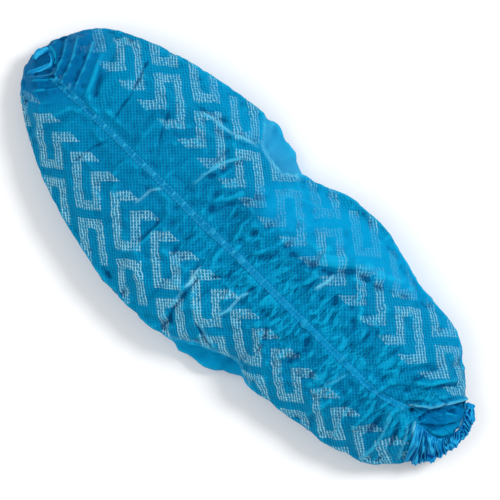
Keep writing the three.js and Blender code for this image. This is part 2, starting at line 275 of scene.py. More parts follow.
folds = [fold(*row) for row in (
    # toe, right side
    ([(168, 2), (174, -12), (182, -23)], 1.49, 2.1, -0.5, 2, 0.05),
    ([(161, 2), (169, -16), (177, -30)], 1.62, 2.2, -0.5, 2, 0.05),
    ([(152, 1), (158, -16), (167, -33)], 1.76, 2.1, -0.5, 3, 0.05),
    ([(143, 0), (149, -14), (157, -32)], 2.16, 1.04, -0.4, 3),
    ([(172, -6), (177, -16), (182, -26)], 2.2, -1.2, 0, 3),
    ([(164, -4), (170, -18), (177, -32)], 2.8, -1.2, 0, 3),
    ([(156, -4), (162, -18), (170, -33)], 3.0, -1.1, 0, 3),
    ([(147, -4), (153, -17), (160, -32)], 3.0, -0.8, 0, 3),
    # crescents round the toe's curl
    ([(186.0, -10.8), (179.5, -9.5), (175.0, -6.8), (172.7, -3.4)], 1.3, 1.9, -0.5, 2),
    ([(185.6, -8.5), (180.5, -7.8), (176.6, -6.1), (174.9, -3.6)], 0.8, -2.4, 0, 1.5),
    ([(181.2, 11.2), (176.1, 5.1), (172.2, -0.3)], 1.4, -2.0, 0, 2),
    # toe, left side
    ([(169.5, -1), (175.5, 7.4), (183.5, 15.4)], 1.1, 1.4, 0.5, 5, 0.1),
    ([(165, -1), (172, 8), (182, 17)], 1.2, 1.6, 0.5, 6, 0.0),
    ([(158, 0), (165, 10), (176, 20)], 1.35, 1.4, 0.4, 8, 0.0),
    ([(150, 1), (156, 11), (165, 24)], 1.6, 1.0, 0.4, 9),
    ([(141, 2), (147, 13), (154, 26)], 1.89, 0.76, 0.3, 4),
    ([(168, 0), (174, 8), (183, 15)], 1.6, -1.0, 0, 3),
    ([(161, 1), (168, 11), (178, 20)], 2.0, -1.0, 0, 3),
    ([(154, 2), (160, 12), (169, 24)], 2.2, -0.9, 0, 3),
    # crossings on the toe's middle line
    ([(173, -3), (171, 0), (172, 3)], 0.9, 0.9, 0, 1.5, 0.2),
    ([(166, -3), (164, 0.5), (165.5, 4)], 0.9, 0.9, 0, 1.5, 0.2),
    ([(158, -3), (156, 1), (157.5, 5)], 0.9, 0.8, 0, 1.5, 0.15),
    # sole, toe half
    ([(12.9, 26.2), (12.2, 33.6), (11.5, 40.1), (11.7, 45.7)], 0.8, 0.9, 0.4, 4, 0.9),
    ([(11.7, 45.7), (10.5, 52.7), (10.9, 62.9)], 0.7, 0.8, 0.4, 4, 0.35),
    ([(10.3, 31.8), (9.2, 41.6), (8.2, 52.3), (8.1, 62.1), (4.1, 68.3), (6.3, 76.6)],
     2.3, -3.3, 0, 5),
    ([(-20.9, 17.1), (-18.8, 24.5), (-18.4, 35.6), (-15.8, 43.4)], 0.8, 0.9, 0.3, 4, 0.5),
    ([(-4.3, 12.8), (-3.2, 19.3), (0.7, 24.7), (6.9, 28.7)], 1.0, -1.4, 0, 4),
    ([(-7.0, 56.1), (-17.1, 59.3), (-29.6, 62.0)], 0.9, -1.4, 0, 4),
    ([(-8.0, 54.3), (-18.1, 57.4), (-30.5, 60.2)], 0.8, 0.8, 0.2, 4, 0.3),
    ([(34, 0), (28, -13), (20, -25), (12, -38)], 2.6, -1.9, 0.4),
    ([(39, -4), (32, -16), (25, -28)], 2.2, 1.6, 0.3),
    ([(55, -14), (49, -28), (42, -44)], 1.6, 1.5, 0.6, 6, 0.3),
    ([(50, -16), (44, -30), (39, -44)], 1.8, -1.6),
    ([(50, -38), (52, -20), (54, -7)], 0.9, 0.7, 0.3, 6, 0.2),
    ([(80, -2), (90, -18), (99, -36)], 1.1, -1.0, 0.5),
    ([(119.5, -2), (122, -15), (126, -34), (133, -52)], 0.9, -1.4, 0.6, 5),
    ([(124, -2), (127, -16), (131, -36)], 3.4, 1.0, 0.3),
    ([(121, 37), (118, 20), (113, 6)], 0.9, -1.3, 0.4, 5),
    ([(55, 46), (53, 32), (54, 20)], 1.3, -1.6, 0.5),
    ([(73, 28), (71, 14), (66, 6)], 0.8, 0.7, 0.0, 4, 0.4),
    ([(60, -56), (80, -50), (100, -46)], 2.4, -1.5, 0.3, 12),
    ([(138, -4), (146, -18), (152, -30)], 1.6, -1.3),
    ([(38, -56), (52, -52), (66, -49), (84, -47)], 1.2, 1.0, 0.8, 6, 0.4),
    ([(4, -6), (-1, -20), (-4, -36)], 2.6, -1.2, 0.3),
    ([(96, 4), (100, 18), (98, 30)], 1.5, -1.0, 0.3),
    ([(30, 10), (34, 24), (31, 40)], 1.8, -1.2, 0.3),
    # sole, heel half
    ([(-118, -56), (-100, -53), (-84, -44), (-62, -40), (-50, -27), (-32, -22), (-14, -20)],
     3.2, -1.8, 0.6, 12),
    ([(-112, -62), (-96, -58), (-80, -50), (-60, -46), (-44, -34), (-20, -30)], 4.6, 2.4, 0.0, 16),
    ([(-85, -65), (-55, -67), (-35, -73)], 1.5, -1.0, 0.2, 8, 0.0),
    ([(-46, -50), (-34, -60), (-24, -68)], 3.0, -1.2, 0.5),
    ([(-8, 2), (-16, -10), (-19, -24), (-14, -40)], 2.2, -2.0, 0.4),
    ([(-51, -12), (-54, -21), (-53, -29)], 0.8, 1.0, 0.0, 3, 0.6),
    ([(-66, 8), (-72, 20), (-70, 34), (-60, 44)], 2.8, -2.4, 0.4),
    ([(-70, 6), (-77, 18), (-75, 30)], 2.2, 1.5, 0.4),
    ([(-52, 48), (-50, 36), (-44, 24)], 1.5, -1.8, 0.5),
    ([(-86, 10), (-90, 22), (-84, 33)], 1.8, -1.7, 0.3),
    ([(-104, 12), (-100, 26), (-94, 40)], 1.2, 1.2, 0.4, 5, 0.12),
    ([(-24, 30), (-20, 18), (-22, 10)], 1.4, -1.5),
    ([(-38, 8), (-42, 20), (-36, 34)], 1.8, 1.4, 0.3),
    ([(-75, -2), (-68, -14), (-62, -22)], 2.2, -2.0),
    ([(-96, -2), (-88, -14), (-80, -28)], 1.8, 1.4, 0.3),
    ([(-106, 4), (-104, -10), (-98, -24)], 1.8, -1.8, 0.4),
    ([(-114, 4), (-112, -12), (-108, -28)], 1.8, 1.3, 0.4),
    # heel
    ([(-141, 10), (-146, 22), (-150, 38), (-148, 50)], 1.1, 1.7, 0.5, 6, 0.15),
    ([(-148, 10), (-155, 22), (-160, 34), (-158, 46)], 2.0, -2.6, 0.4),
    ([(-154, 9), (-162, 19), (-168, 34)], 1.1, 1.7, 0.5, 5, 0.2),
    ([(-157, 5), (-163, 12), (-171, 18.5), (-179, 25)], 1.1, 2.2, 0.3, 2, 0.8),
    ([(-135, 8), (-140, 20), (-140, 36)], 1.9, -2.2, 0.3),
    ([(-127, 10), (-131, 24), (-130, 42)], 1.3, 1.5, 0.3),
    ([(-121, 8), (-124, 22), (-121, 36)], 1.8, -1.4, 0.3),
    ([(-126, 1), (-138, -9), (-150, -21), (-161, -34)], 2.2, 1.9, 0.4, 8),
    ([(-133, 2), (-145, -10), (-156, -23), (-166, -34)], 2.0, -2.0, 0.3),
    ([(-138, 3), (-149, -6), (-158, -15), (-168, -27)], 1.8, 1.5, 0.4),
    ([(-146, 2), (-158, -7), (-166.7, -18), (-176, -29)], 1.1, 2.3, 1.0, 3, 0.6),
    ([(-150, 3.5), (-160, -5), (-168.5, -16), (-177, -26)], 2.0, -3.2, 0.2, 3),
    ([(-118, -4), (-132, -16), (-144, -30)], 2.0, -1.8, 0.3),
    # heel pocket
    ([(-156, 4), (-160, -5), (-165.5, -14), (-174, -21)], 1.6, 2.0, 0.3, 3),
    ([(-158.5, 3.5), (-162.5, -4.5), (-168, -12.5), (-176, -18)], 1.4, -3.6, 0.2, 2),
    ([(-161, 4.8), (-168.2, 1.6), (-176.3, -4.5), (-181, -12)], 1.1, -3.2, 0.2, 2),
    ([(-165, 4), (-172, 3), (-178, -0.5), (-182, -7)], 1.6, 1.6, 0.2, 3),
    ([(-163, 6.5), (-171, 7), (-178.5, 4), (-184, -3), (-185, -11)], 1.6, -2.6, 0.2, 2),
    ([(-176, -29), (-181, -21), (-183.5, -11)], 1.1, 1.2, 0.2, 2, 0.9),
)]


def foldsAt(x, y):  # height and glint of all the folds at a place
    u, v = x / foldShape["wander"], y / foldShape["wander"]
    here = Vector((x + noise.noise(Vector((u, v, 71))), y + noise.noise(Vector((u, v, 77)))))
    height = glint = 0.0
    for f in folds:
        if not (f["low"].x < x < f["top"].x and f["low"].y < y < f["top"].y):
            continue
        best = None
        for start, way, length, reached in f["spans"]:
            share = clamp((here - start).dot(way) / length ** 2)
            off = here - start - way * share
            away = off.length
            if best is None or away < best[0]:
                across = (way.x * off.y - way.y * off.x) / length
                best = (away, across, reached + share * length)
        away, across, along = best
        if away > foldShape["reach"] * f["wide"]:
            continue
        taper = smoothStep(along / f["fade"]) * smoothStep((f["total"] - along) / f["fade"])
        tent = max(0.0, 1 - away / (foldShape["tent"] * f["wide"])) ** foldShape["tentPower"]
        shape = foldShape["tentShare"] * tent + foldShape["domeShare"] * math.exp(-(away / f["wide"]) ** 2)
        height += f["high"] * taper * shape * (1 + f["lean"] * across / f["wide"])
        glint = max(glint, f["glint"] * taper * math.exp(-(away / foldShape["glintWide"]) ** 2))
    return height, glint


# How strongly the seam and the sole gather along the length, and the heights of the gathers.
puckers = {
    "at": (-190, -165, -150, -120, -60, 0, 30, 60, 110, 145, 165, 190),
    "seam": (0.3, 0.9, 1.1, 1.1, 1.1, 1.1, 0.8, 0.36, 0.2, 0.2, 0.2, 0.2),
    "sole": (0.5, 0.6, 0.8, 0.8, 0.9, 0.9, 0.6, 0.32, 0.22, 0.22, 0.22, 0.2),
    "waveHigh": 1.0,
    "broadHigh": 1.6,
}

# Sets of short straight creases. They lie from and to these places along the seam and as far as away
# from it, with ranges of length, half width and height. tilt is how far they turn from square to it.
creaseColumns = ("count", "from", "to", "away", "long", "wide", "high", "tilt", "seed")
creaseSets = [dict(zip(creaseColumns, row)) for row in (
    (54, -166, 40, 36, (14, 34), (1.0, 1.5), (0.5, 1.1), 24, 3),
    (22, -160, 46, 44, (24, 44), (1.4, 2.2), (0.9, 1.6), 28, 5),
    (16, 24, 150, 40, (14, 34), (0.8, 1.1), (0.15, 0.35), 32, 8),
    (36, -172, 60, 76, (18, 40), (0.9, 1.4), (0.25, 0.6), 50, 13),
)]


def scatterCreases(flat):  # heights of all the creases, laid over the flat cloth
    tree = KDTree(len(flat))
    for index, (s, t) in flat.items():
        tree.insert((s, t, 0), index)
    tree.balance()
    heights = dict.fromkeys(flat, 0.0)
    for group in creaseSets:
        draw = random.Random(group["seed"])
        for _ in range(group["count"]):
            along = draw.uniform(group["from"], group["to"])
            middle = Vector((along, draw.triangular(-1, 1, 0) * group["away"]))
            turn = math.radians(draw.uniform(-group["tilt"], group["tilt"]))
            long, wide = draw.uniform(*group["long"]), draw.uniform(*group["wide"])
            high = draw.uniform(*group["high"]) * draw.choice((1, 1, 1, -0.6))
            bend = draw.uniform(-0.09, 0.09)
            way = Vector((math.sin(turn), math.cos(turn)))
            for place, index, _ in tree.find_range((middle.x, middle.y, 0), long / 2 + 2 * wide):
                off = Vector((place.x, place.y)) - middle
                along = off.dot(way)
                share = 1 - abs(along) / (long / 2)
                if share <= 0:
                    continue
                away = abs(way.x * off.y - way.y * off.x + bend * along * along / long)
                tent = max(0.0, 1 - away / (1.7 * wide))
                heights[index] += high * tent * smoothStep(share * 2.2)
    return heights


def seamShareAt(s, t):  # how strongly the seam gathers the cloth here
    away = abs(t)
    patch = 0.8 + 0.7 * noise.noise(Vector((s / 21, t / 15, 41)))
    return tableValue(puckers, "seam", s) * bump(away, -3, 6, 14, 42) * patch


def ridges(s, t, wide, long, turn, at):  # soft crests of gathers, longer across the seam than along it
    c, q = math.cos(math.radians(turn)), math.sin(math.radians(turn))
    sway = 2.4 * noise.noise(Vector((s / 16, t / 20, at + 3)))
    value = noise.noise(Vector(((s * c + t * q + sway) / wide, (t * c - s * q) / long, at)))
    return clamp(1 - abs(value) * 3.2) ** 1.3


def wavesHeight(s, t):
    away = abs(t)
    lean = 14 if t > 0 else -14
    soleShare = tableValue(puckers, "sole", s) * bump(away, 6, 26, 70, 120)
    gathers = max(ridges(s, t, 6.5, 26, lean, 39), 0.8 * ridges(s, t, 4.6, 17, -lean, 57))
    broad = noise.noise(Vector((s / 19, t / 34, 19)))
    return (puckers["waveHigh"] * gathers * (seamShareAt(s, t) + 0.12 * soleShare)
            + puckers["broadHigh"] * broad * (0.5 * seamShareAt(s, t) + soleShare))


buckles = {
    "from": 5,               # below the sole's edge
    "broadHigh": 2.2,
    "broadLong": 13,
    "sharpHigh": 1.2,
}


def wallBuckles(s, away):  # the loose sides hang in shallow folds under the sole's edge
    if away < buckles["from"]:
        return 0.0
    sway = s + 5 * noise.noise(Vector((s / 20, away / 18, 83)))
    broad = noise.noise(Vector((sway / buckles["broadLong"], away / 46, 87)))
    sharp = ridges(sway, away * 0.5, 17, 40, 20, 91)
    height = buckles["broadHigh"] * broad + buckles["sharpHigh"] * sharp
    return height * bump(away, buckles["from"], 20, 44, 64)


flutter = {"high": 1.1, "reach": 12}


def edgeFlutter(vert, away):  # small waves along the sole's edge
    if abs(away) > flutter["reach"]:
        return 0.0
    wave = noise.noise(Vector((vert.co.x / 7, vert.co.y / 7, 61)))
    wave += 0.6 * noise.noise(vert.co / 3.1)
    return flutter["high"] * wave * (1 - smoothStep(abs(away) / flutter["reach"]))


# Building the cloth

settling = {
    "alongEvery": 5,         # one point of the simulated cloth for so many of the fine one
    "acrossEvery": 4,
    "frames": 22,
    "quality": 6,
    "mass": 0.1,
    "stretch": 20,
    "shear": 5,
    "bend": 0.05,
    "shrink": -0.04,         # below zero, so the cloth is larger than the shape that holds it
    "gravity": 0.4,
    "pressure": 0.4,
    "hold": 0.3,             # how firmly the free cloth keeps to its shape
    "tiedRows": 3,           # at each tip
    "tiedHeight": 2,         # points below it lie on the floor and stay
    "reach": 3,              # the farthest that a point may move
    "sideways": 0.35,        # share of a sideways move that is kept, so the outline stays
}


def coarseSteps():
    return cover["alongSteps"] // settling["alongEvery"], cover["acrossSteps"] // settling["acrossEvery"]


def gridPlace(vert, steps, across):  # a grid point's section, its number down the section and its side
    i = round((0.5 - vert.co.x) * steps)
    j = round(abs(vert.co.y) * 2 * across)
    return i, j, 0 if vert.co.y >= 0 else 1


def settleCloth(lines):  # a coarse cloth, held at the seam and the hem, buckles as it settles
    steps, across = coarseSteps()
    coarse = bmesh.new()
    bmesh.ops.create_grid(coarse, x_segments=steps, y_segments=2 * across, size=0.5)
    home, keys, pins = {}, {}, {}
    for vert in coarse.verts:
        i, j, side = gridPlace(vert, steps, across)
        place = lines[i * settling["alongEvery"]][side][j * settling["acrossEvery"]]
        vert.co = place * metres
        home[vert.index] = place
        keys[vert.index] = (i, j if side == 0 else -j)
        atTip = i < settling["tiedRows"] or i > steps - settling["tiedRows"]
        tied = j == 0 or j >= across - 1 or atTip or place.z < settling["tiedHeight"]
        pins[vert.index] = 1.0 if tied else settling["hold"]
    mesh = meshFrom(coarse, "settling")
    draft = addObject("settling", mesh)
    group = draft.vertex_groups.new(name="held")
    for index, weight in pins.items():
        group.add([index], weight, "REPLACE")
    modifier = draft.modifiers.new("Cloth", "CLOTH")
    cloth = modifier.settings
    cloth.quality = settling["quality"]
    cloth.mass = settling["mass"]
    cloth.tension_stiffness = cloth.compression_stiffness = settling["stretch"]
    cloth.shear_stiffness = settling["shear"]
    cloth.bending_stiffness = settling["bend"]
    cloth.vertex_group_mass = "held"
    cloth.pin_stiffness = 1
    cloth.shrink_min = settling["shrink"]
    cloth.use_pressure = True
    cloth.uniform_pressure_force = settling["pressure"]
    cloth.effector_weights.gravity = settling["gravity"]
    modifier.point_cache.frame_end = settling["frames"]
    scene = bpy.context.scene
    for frameNumber in range(1, settling["frames"] + 1):
        scene.frame_set(frameNumber)
    settled = draft.evaluated_get(bpy.context.evaluated_depsgraph_get()).to_mesh()
    moves = {}
    for vert in settled.vertices:
        move = vert.co / metres - home[vert.index]
        move.x *= settling["sideways"]
        move.y *= settling["sideways"]
        if move.length > settling["reach"]:
            move = move.normalized() * settling["reach"]
        moves[keys[vert.index]] = move
    scene.frame_set(1)
    bpy.data.objects.remove(draft)
    bpy.data.meshes.remove(mesh)
    mean = sum(move.length for move in moves.values()) / len(moves)
    print("cloth settled, mean move in mm", round(mean, 2))
    return moves


def cubicRow(values, every, count):  # a row of moves made finer
    row = []
    last = len(values) - 1
    for n in range(count + 1):
        i = min(n // every, last - 1)
        t = n / every - i
        a, b, c, d = (values[min(max(i + k, 0), last)] for k in (-1, 0, 1, 2))
        row.append((b * 2 + (c - a) * t + (a * 2 - b * 5 + c * 4 - d) * t ** 2
                    + (b * 3 - a - c * 3 + d) * t ** 3) / 2)
    return row


def spreadMoves(lines, moves):  # the coarse cloth's moves, added to the fine sections
    steps, across = coarseSteps()
    columns = {}
    for j in range(-across, across + 1):
        column = [moves[(i, j)] for i in range(steps + 1)]
        columns[j] = cubicRow(column, settling["alongEvery"], cover["alongSteps"])
    for i, pair in enumerate(lines):
        for side, line in zip((1, -1), pair):
            row = [columns[side * j][i] for j in range(across + 1)]
            for place, move in zip(line, cubicRow(row, settling["acrossEvery"], cover["acrossSteps"])):
                place += move


def buildCloth():
    steps, across = cover["alongSteps"], cover["acrossSteps"]
    turns = evenTurns(steps)
    lines = [(sectionLine(1, turn, across), sectionLine(-1, turn, across)) for turn in turns]
    spreadMoves(lines, settleCloth(lines))
    cloth = bmesh.new()
    bmesh.ops.create_grid(cloth, x_segments=steps, y_segments=2 * across, size=0.5)
    uv = cloth.loops.layers.uv.new("cloth")
    soleLayer = cloth.verts.layers.float.new("sole")
    puckerLayer = cloth.verts.layers.float.new("pucker")
    runs = []
    for pair in lines:
        sides = []
        for line in pair:
            run = [0.0]
            for a, b in zip(line, line[1:]):
                run.append(run[-1] + math.hypot(b.y - a.y, b.z - a.z))
            edgeRun = next((r for r, p in zip(run, line) if p.z < line[0].z * cover["soleEnds"]), run[-1])
            sides.append((run, edgeRun))
        runs.append(sides)
    flat = {}
    for vert in cloth.verts:
        i, j, side = gridPlace(vert, steps, across)
        place = lines[i][side][j]
        run, edgeRun = runs[i][side]
        flat[vert.index] = (place.x, run[j] if side == 0 else -run[j])
        vert[soleLayer] = run[j] - edgeRun
        vert[puckerLayer] = clamp(seamShareAt(*flat[vert.index]))
        vert.co = place
    for face in cloth.faces:
        signs = sum(flat[loop.vert.index][1] for loop in face.loops)
        face.material_index = 0 if signs >= 0 else 1
        for loop in face.loops:
            s, t = flat[loop.vert.index]
            loop[uv].uv = (s, math.copysign(t, signs))
    print("cloth grid", len(cloth.verts), "points")
    glintLayer = cloth.verts.layers.float.new("glint")
    heights = {}
    for vert in cloth.verts:
        onSole = vert[soleLayer] < foldShape["room"]
        heights[vert.index], vert[glintLayer] = foldsAt(vert.co.x, vert.co.y) if onSole else (0.0, 0.0)
    print("folds laid", len(folds))
    creased = scatterCreases(flat)
    for vert in cloth.verts:
        small = creased[vert.index] + wavesHeight(*flat[vert.index])
        hanging = wallBuckles(flat[vert.index][0], vert[soleLayer])
        heights[vert.index] += small + hanging + edgeFlutter(vert, vert[soleLayer])
    pushCloth(cloth, heights)
    for vert in cloth.verts:
        vert.co.z = max(vert.co.z, cover["cloth"])
    bmesh.ops.remove_doubles(cloth, verts=cloth.verts, dist=0.02)
    bmesh.ops.recalc_face_normals(cloth, faces=cloth.faces)
    markRelief(cloth)
    return cloth


def pushCloth(cloth, heights):  # outwards, by the normals' own direction at the middle of the sole
    cloth.normal_update()
    moves = [(vert, vert.normal * heights[vert.index]) for vert in cloth.verts]
    middle = [vert.normal.z for vert in cloth.verts if abs(vert.co.y) < 20 and vert.co.z > 40]
    up = 1 if sum(middle) > 0 else -1
    for vert, move in moves:
        vert.co += move * up


reliefRounds = 14  # of smoothing


def markRelief(cloth):  # how far each point stands over the smoothed cloth
    reliefLayer = cloth.verts.layers.float.new("relief")
    places = [vert.co.copy() for vert in cloth.verts]
    normals = [vert.normal.copy() for vert in cloth.verts]
    allAxes = {"use_axis_x": True, "use_axis_y": True, "use_axis_z": True}
    for _ in range(reliefRounds):
        bmesh.ops.smooth_vert(cloth, verts=cloth.verts, factor=0.5, **allAxes)
    for vert, place, normal in zip(cloth.verts, places, normals):
        vert[reliefLayer] = (place - vert.co).dot(normal)
        vert.co = place


def finishMesh(bm, name, materials):
    bmesh.ops.translate(bm, verts=bm.verts, vec=(0, -cover["middleY"], 0))
    bmesh.ops.scale(bm, verts=bm.verts, vec=(metres, metres, metres))
    mesh = meshFrom(bm, name)
    for polygon in mesh.polygons:
        polygon.use_smooth = True
        polygon.material_index = 0
    piece = addObject(name, mesh)
    for material in materials:
        mesh.materials.append(material)
    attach(piece, "root")
    return piece


def thicken(piece, thickness, insideSlot=0):
    wall = piece.modifiers.new("Cloth thickness", "SOLIDIFY")
    wall.thickness = thickness * metres
    wall.offset = -1
    wall.material_offset = insideSlot
    wall.material_offset_rim = insideSlot


# Materials

def operation(name, swapped=False):
    def apply(self, other):
        return self.sum(name, other, self) if swapped else self.sum(name, self, other)
    return apply


class Signal:  # a socket that can be used in sums, where | is the larger and & the smaller
    def __init__(self, finish, socket):
        self.finish = finish
        self.socket = socket

    def sum(self, operation, *values):
        return self.finish.node("ShaderNodeMath", {"operation": operation}, dict(enumerate(values)))

    __add__, __radd__ = operation("ADD"), operation("ADD", True)
    __sub__, __rsub__ = operation("SUBTRACT"), operation("SUBTRACT", True)
    __mul__, __rmul__ = operation("MULTIPLY"), operation("MULTIPLY", True)
    __truediv__, __mod__ = operation("DIVIDE"), operation("FLOORED_MODULO")
    __gt__, __lt__ = operation("GREATER_THAN"), operation("LESS_THAN")
    __or__, __and__ = operation("MAXIMUM"), operation("MINIMUM")

    def __abs__(self):
        return self.sum("ABSOLUTE", self)

    def clamped(self):
        return (self | 0.0) & 1.0

    def soft(self, low, high):  # 0 at low to 1 at high
        settings = {"interpolation_type": "SMOOTHSTEP"}
        values = {0: self, 1: low, 2: high, 3: 0.0, 4: 1.0}
        return self.finish.node("ShaderNodeMapRange", settings, values)

    def within(self, low, high):
        return (self > low) * (self < high)


class Finish:  # a material and its nodes
    def __init__(self, name):
        self.material = bpy.data.materials.new(name)
        self.material.use_nodes = True
        self.nodes = self.material.node_tree.nodes
        self.links = self.material.node_tree.links
        self.nodes.clear()

    def node(self, kind, settings=None, values=None, output=0):
        made = self.nodes.new(kind)
        for key, value in (settings or {}).items():
            setattr(made, key, value)
        for key, value in (values or {}).items():
            if isinstance(value, Signal):
                self.links.new(value.socket, made.inputs[key])
            else:
                made.inputs[key].default_value = value
        return Signal(self, made.outputs[output]) if len(made.outputs) else None

    def mix(self, share, first, second):
        settings = {"data_type": "RGBA", "clamp_factor": True}
        return self.node("ShaderNodeMix", settings, {0: share, 6: first, 7: second}, 2)

    def noise(self, place, scale, detail=2.0, roughness=0.5):
        values = {"Vector": place, "Scale": scale, "Detail": detail, "Roughness": roughness}
        return self.node("ShaderNodeTexNoise", {}, values)

    def attributes(self, *names):
        return [self.node("ShaderNodeAttribute", {"attribute_name": name}, {}, "Fac") for name in names]

    def objectPlace(self):
        return self.node("ShaderNodeTexCoord", {}, {}, "Object")

    def seamPlace(self):  # the flat cloth's place, and its distances along and away from the seam
        flat = self.node("ShaderNodeUVMap", {"uv_map": "cloth"})
        along = self.node("ShaderNodeSeparateXYZ", {}, {0: flat})
        return flat, along, Signal(self, along.socket.node.outputs[1])

    def creases(self, flat, turn, wide, long):  # crests of small creases that cross the seam's line
        settings = {"vector_type": "TEXTURE"}
        values = {"Vector": flat, "Rotation": (0, 0, math.radians(turn)), "Scale": (wide, long, 1)}
        place = self.node("ShaderNodeMapping", settings, values)
        return 1 - abs(self.noise(place, 1.0, 1.5, 0.45) - 0.5) * 10

    def output(self, values):
        shader = self.node("ShaderNodeBsdfPrincipled", {}, values)
        self.node("ShaderNodeOutputMaterial", {"is_active_output": True}, {"Surface": shader})
        return self.material

    def woven(self, tint, rough, raised, strength, shine):
        bumped = self.node("ShaderNodeBump", {}, {"Strength": strength, "Distance": metres, "Height": raised})
        values = {"Base Color": tint, "Roughness": rough, "Normal": bumped, "Specular IOR Level": shine}
        return self.output(values)


def colour(red, green, blue):  # a screen colour out of 255, as light
    def light(level):
        share = level / 255
        return share / 12.92 if share <= 0.04045 else ((share + 0.055) / 1.055) ** 2.4
    return (light(red), light(green), light(blue), 1.0)


nonwoven = {
    "dotPitch": 2.02,        # between bond dots, which stand in rows at 45 degrees to the seam
    "dotHalf": 0.29,         # half a dot's side, as a share of the pitch
    "dotDeep": 0.1,
    "net": colour(0, 141, 188),
    "dot": colour(0, 94, 142),
    # bright and brightDot are painted light, where light comes through a single layer
    "bright": colour(0, 144, 196),
    "brightDot": colour(0, 134, 190),
    "bare": colour(0, 108, 166),
    # valley: painted shade in hollows, creases and where layers lie on each other, and the colour of random
    # darker patches
    "valley": colour(0, 58, 106),
    # crest: painted highlight on crests
    "crest": colour(12, 172, 216),
    # edge: painted highlight where edges catch light
    "edge": colour(128, 212, 238),
    "print": colour(160, 220, 240),
    "printDot": colour(10, 122, 160),
    "roughness": 0.55,
    "shine": 0.02,
    "smallCreases": ((12, 4.2, 20), (-16, 5.4, 24)),  # turn, width and length
}

hooks = {
    "bar": 6.45,             # width of a printed bar, and of the gap between bars
    "leftAlong": 126.5,      # a hook's outer corner, along and away from the seam
    "leftAway": 28.1,
    "rightAlong": 81.5,
    "rightAway": 37.4,
    "inner": 2.05,           # where the bars are cut off towards the seam, in bars
    "outer": -13.6,
    "leftInk": 1.25,
    "rightInk": 0.8,
    "runsOut": (3, 6),       # past the sole's edge
}

# Zones of the sole: x, y, half length, half width, turn in degrees, strength
glowZones = [  # light comes through a single layer
    (-62, -57, 62, 13, 6, 1.0),
    (-8, -45, 28, 18, 30, 1.0),
    (-34, -34, 26, 9, 20, 0.7),
    (-60, 7, 95, 6, -1, 0.25),
    (85, -67, 55, 6, -12, 0.5),
    (26, -66, 26, 12, -8, 1.0),
    (-32, 70, 34, 6, 12, 0.4),
    (-140, -52, 26, 6, -24, 0.4),
    (-185, 8, 12, 22, 0, 0.5),
]
bareZones = [  # no bond dots show
    (184, -8, 36, 36, 0, 1.0),
    (-170, -8, 17, 12, 45, 1.0),
    (-62, -57, 58, 11, 6, 0.55),
    (-8, -45, 24, 14, 30, 0.45),
]
deepZones = [  # shade where layers lie on each other
    (178, -6, 26, 26, 0, 0.75),
    (181, -2, 8.5, 9.5, 0, 1.6),
    (70, -20, 60, 24, 0, 0.25),
    (90, 30, 70, 20, 0, 0.3),
    (-60, 30, 40, 20, 10, 0.25),
    (-125, 22, 30, 18, 0, 0.4),
    (22, -20, 16, 12, 40, 0.5),
    (-60, -28, 36, 8, 10, 0.35),
]


def zonesAt(zones, x, y):
    total = 0.0
    for zoneX, zoneY, long, wide, turn, strength in zones:
        c, s = math.cos(math.radians(turn)), math.sin(math.radians(turn))
        dx, dy = x - zoneX, y - zoneY
        away = math.hypot((dx * c + dy * s) / long, (dy * c - dx * s) / wide)
        total = max(total, strength * (1 - smoothStep((away - 0.7) / 0.6)))
    return total


def hookMask(s, t, corner, side):  # one side's chain of printed hooks, worked out in bars
    along, away = corner
    runS = (s - along) * side
    runT = t * side - away
    step = math.sqrt(2) * hooks["bar"]
    u = (runS + runT) * (-1 / step)
    v = (runT - runS) * (1 / step)
    low = v % 4
    u = u - (v - low)
    arms = low.within(0, 1) * (u > 0) | low.within(2, 3) * (u > 2)
    bars = u.within(0, 1) | u.within(2, 3) * (low > 2)
    back = (u.within(-4, -3) | u.within(-2, -1)) * (low < 2) | u.within(-4, -1) * low.within(1, 2)
    outer = u.within(-4, -1) * (low > 3) | u.within(-8, -7) | u.within(-6, -5)
    band = (u - low).within(hooks["outer"], hooks["inner"])
    return (arms | bars | back | outer) * band


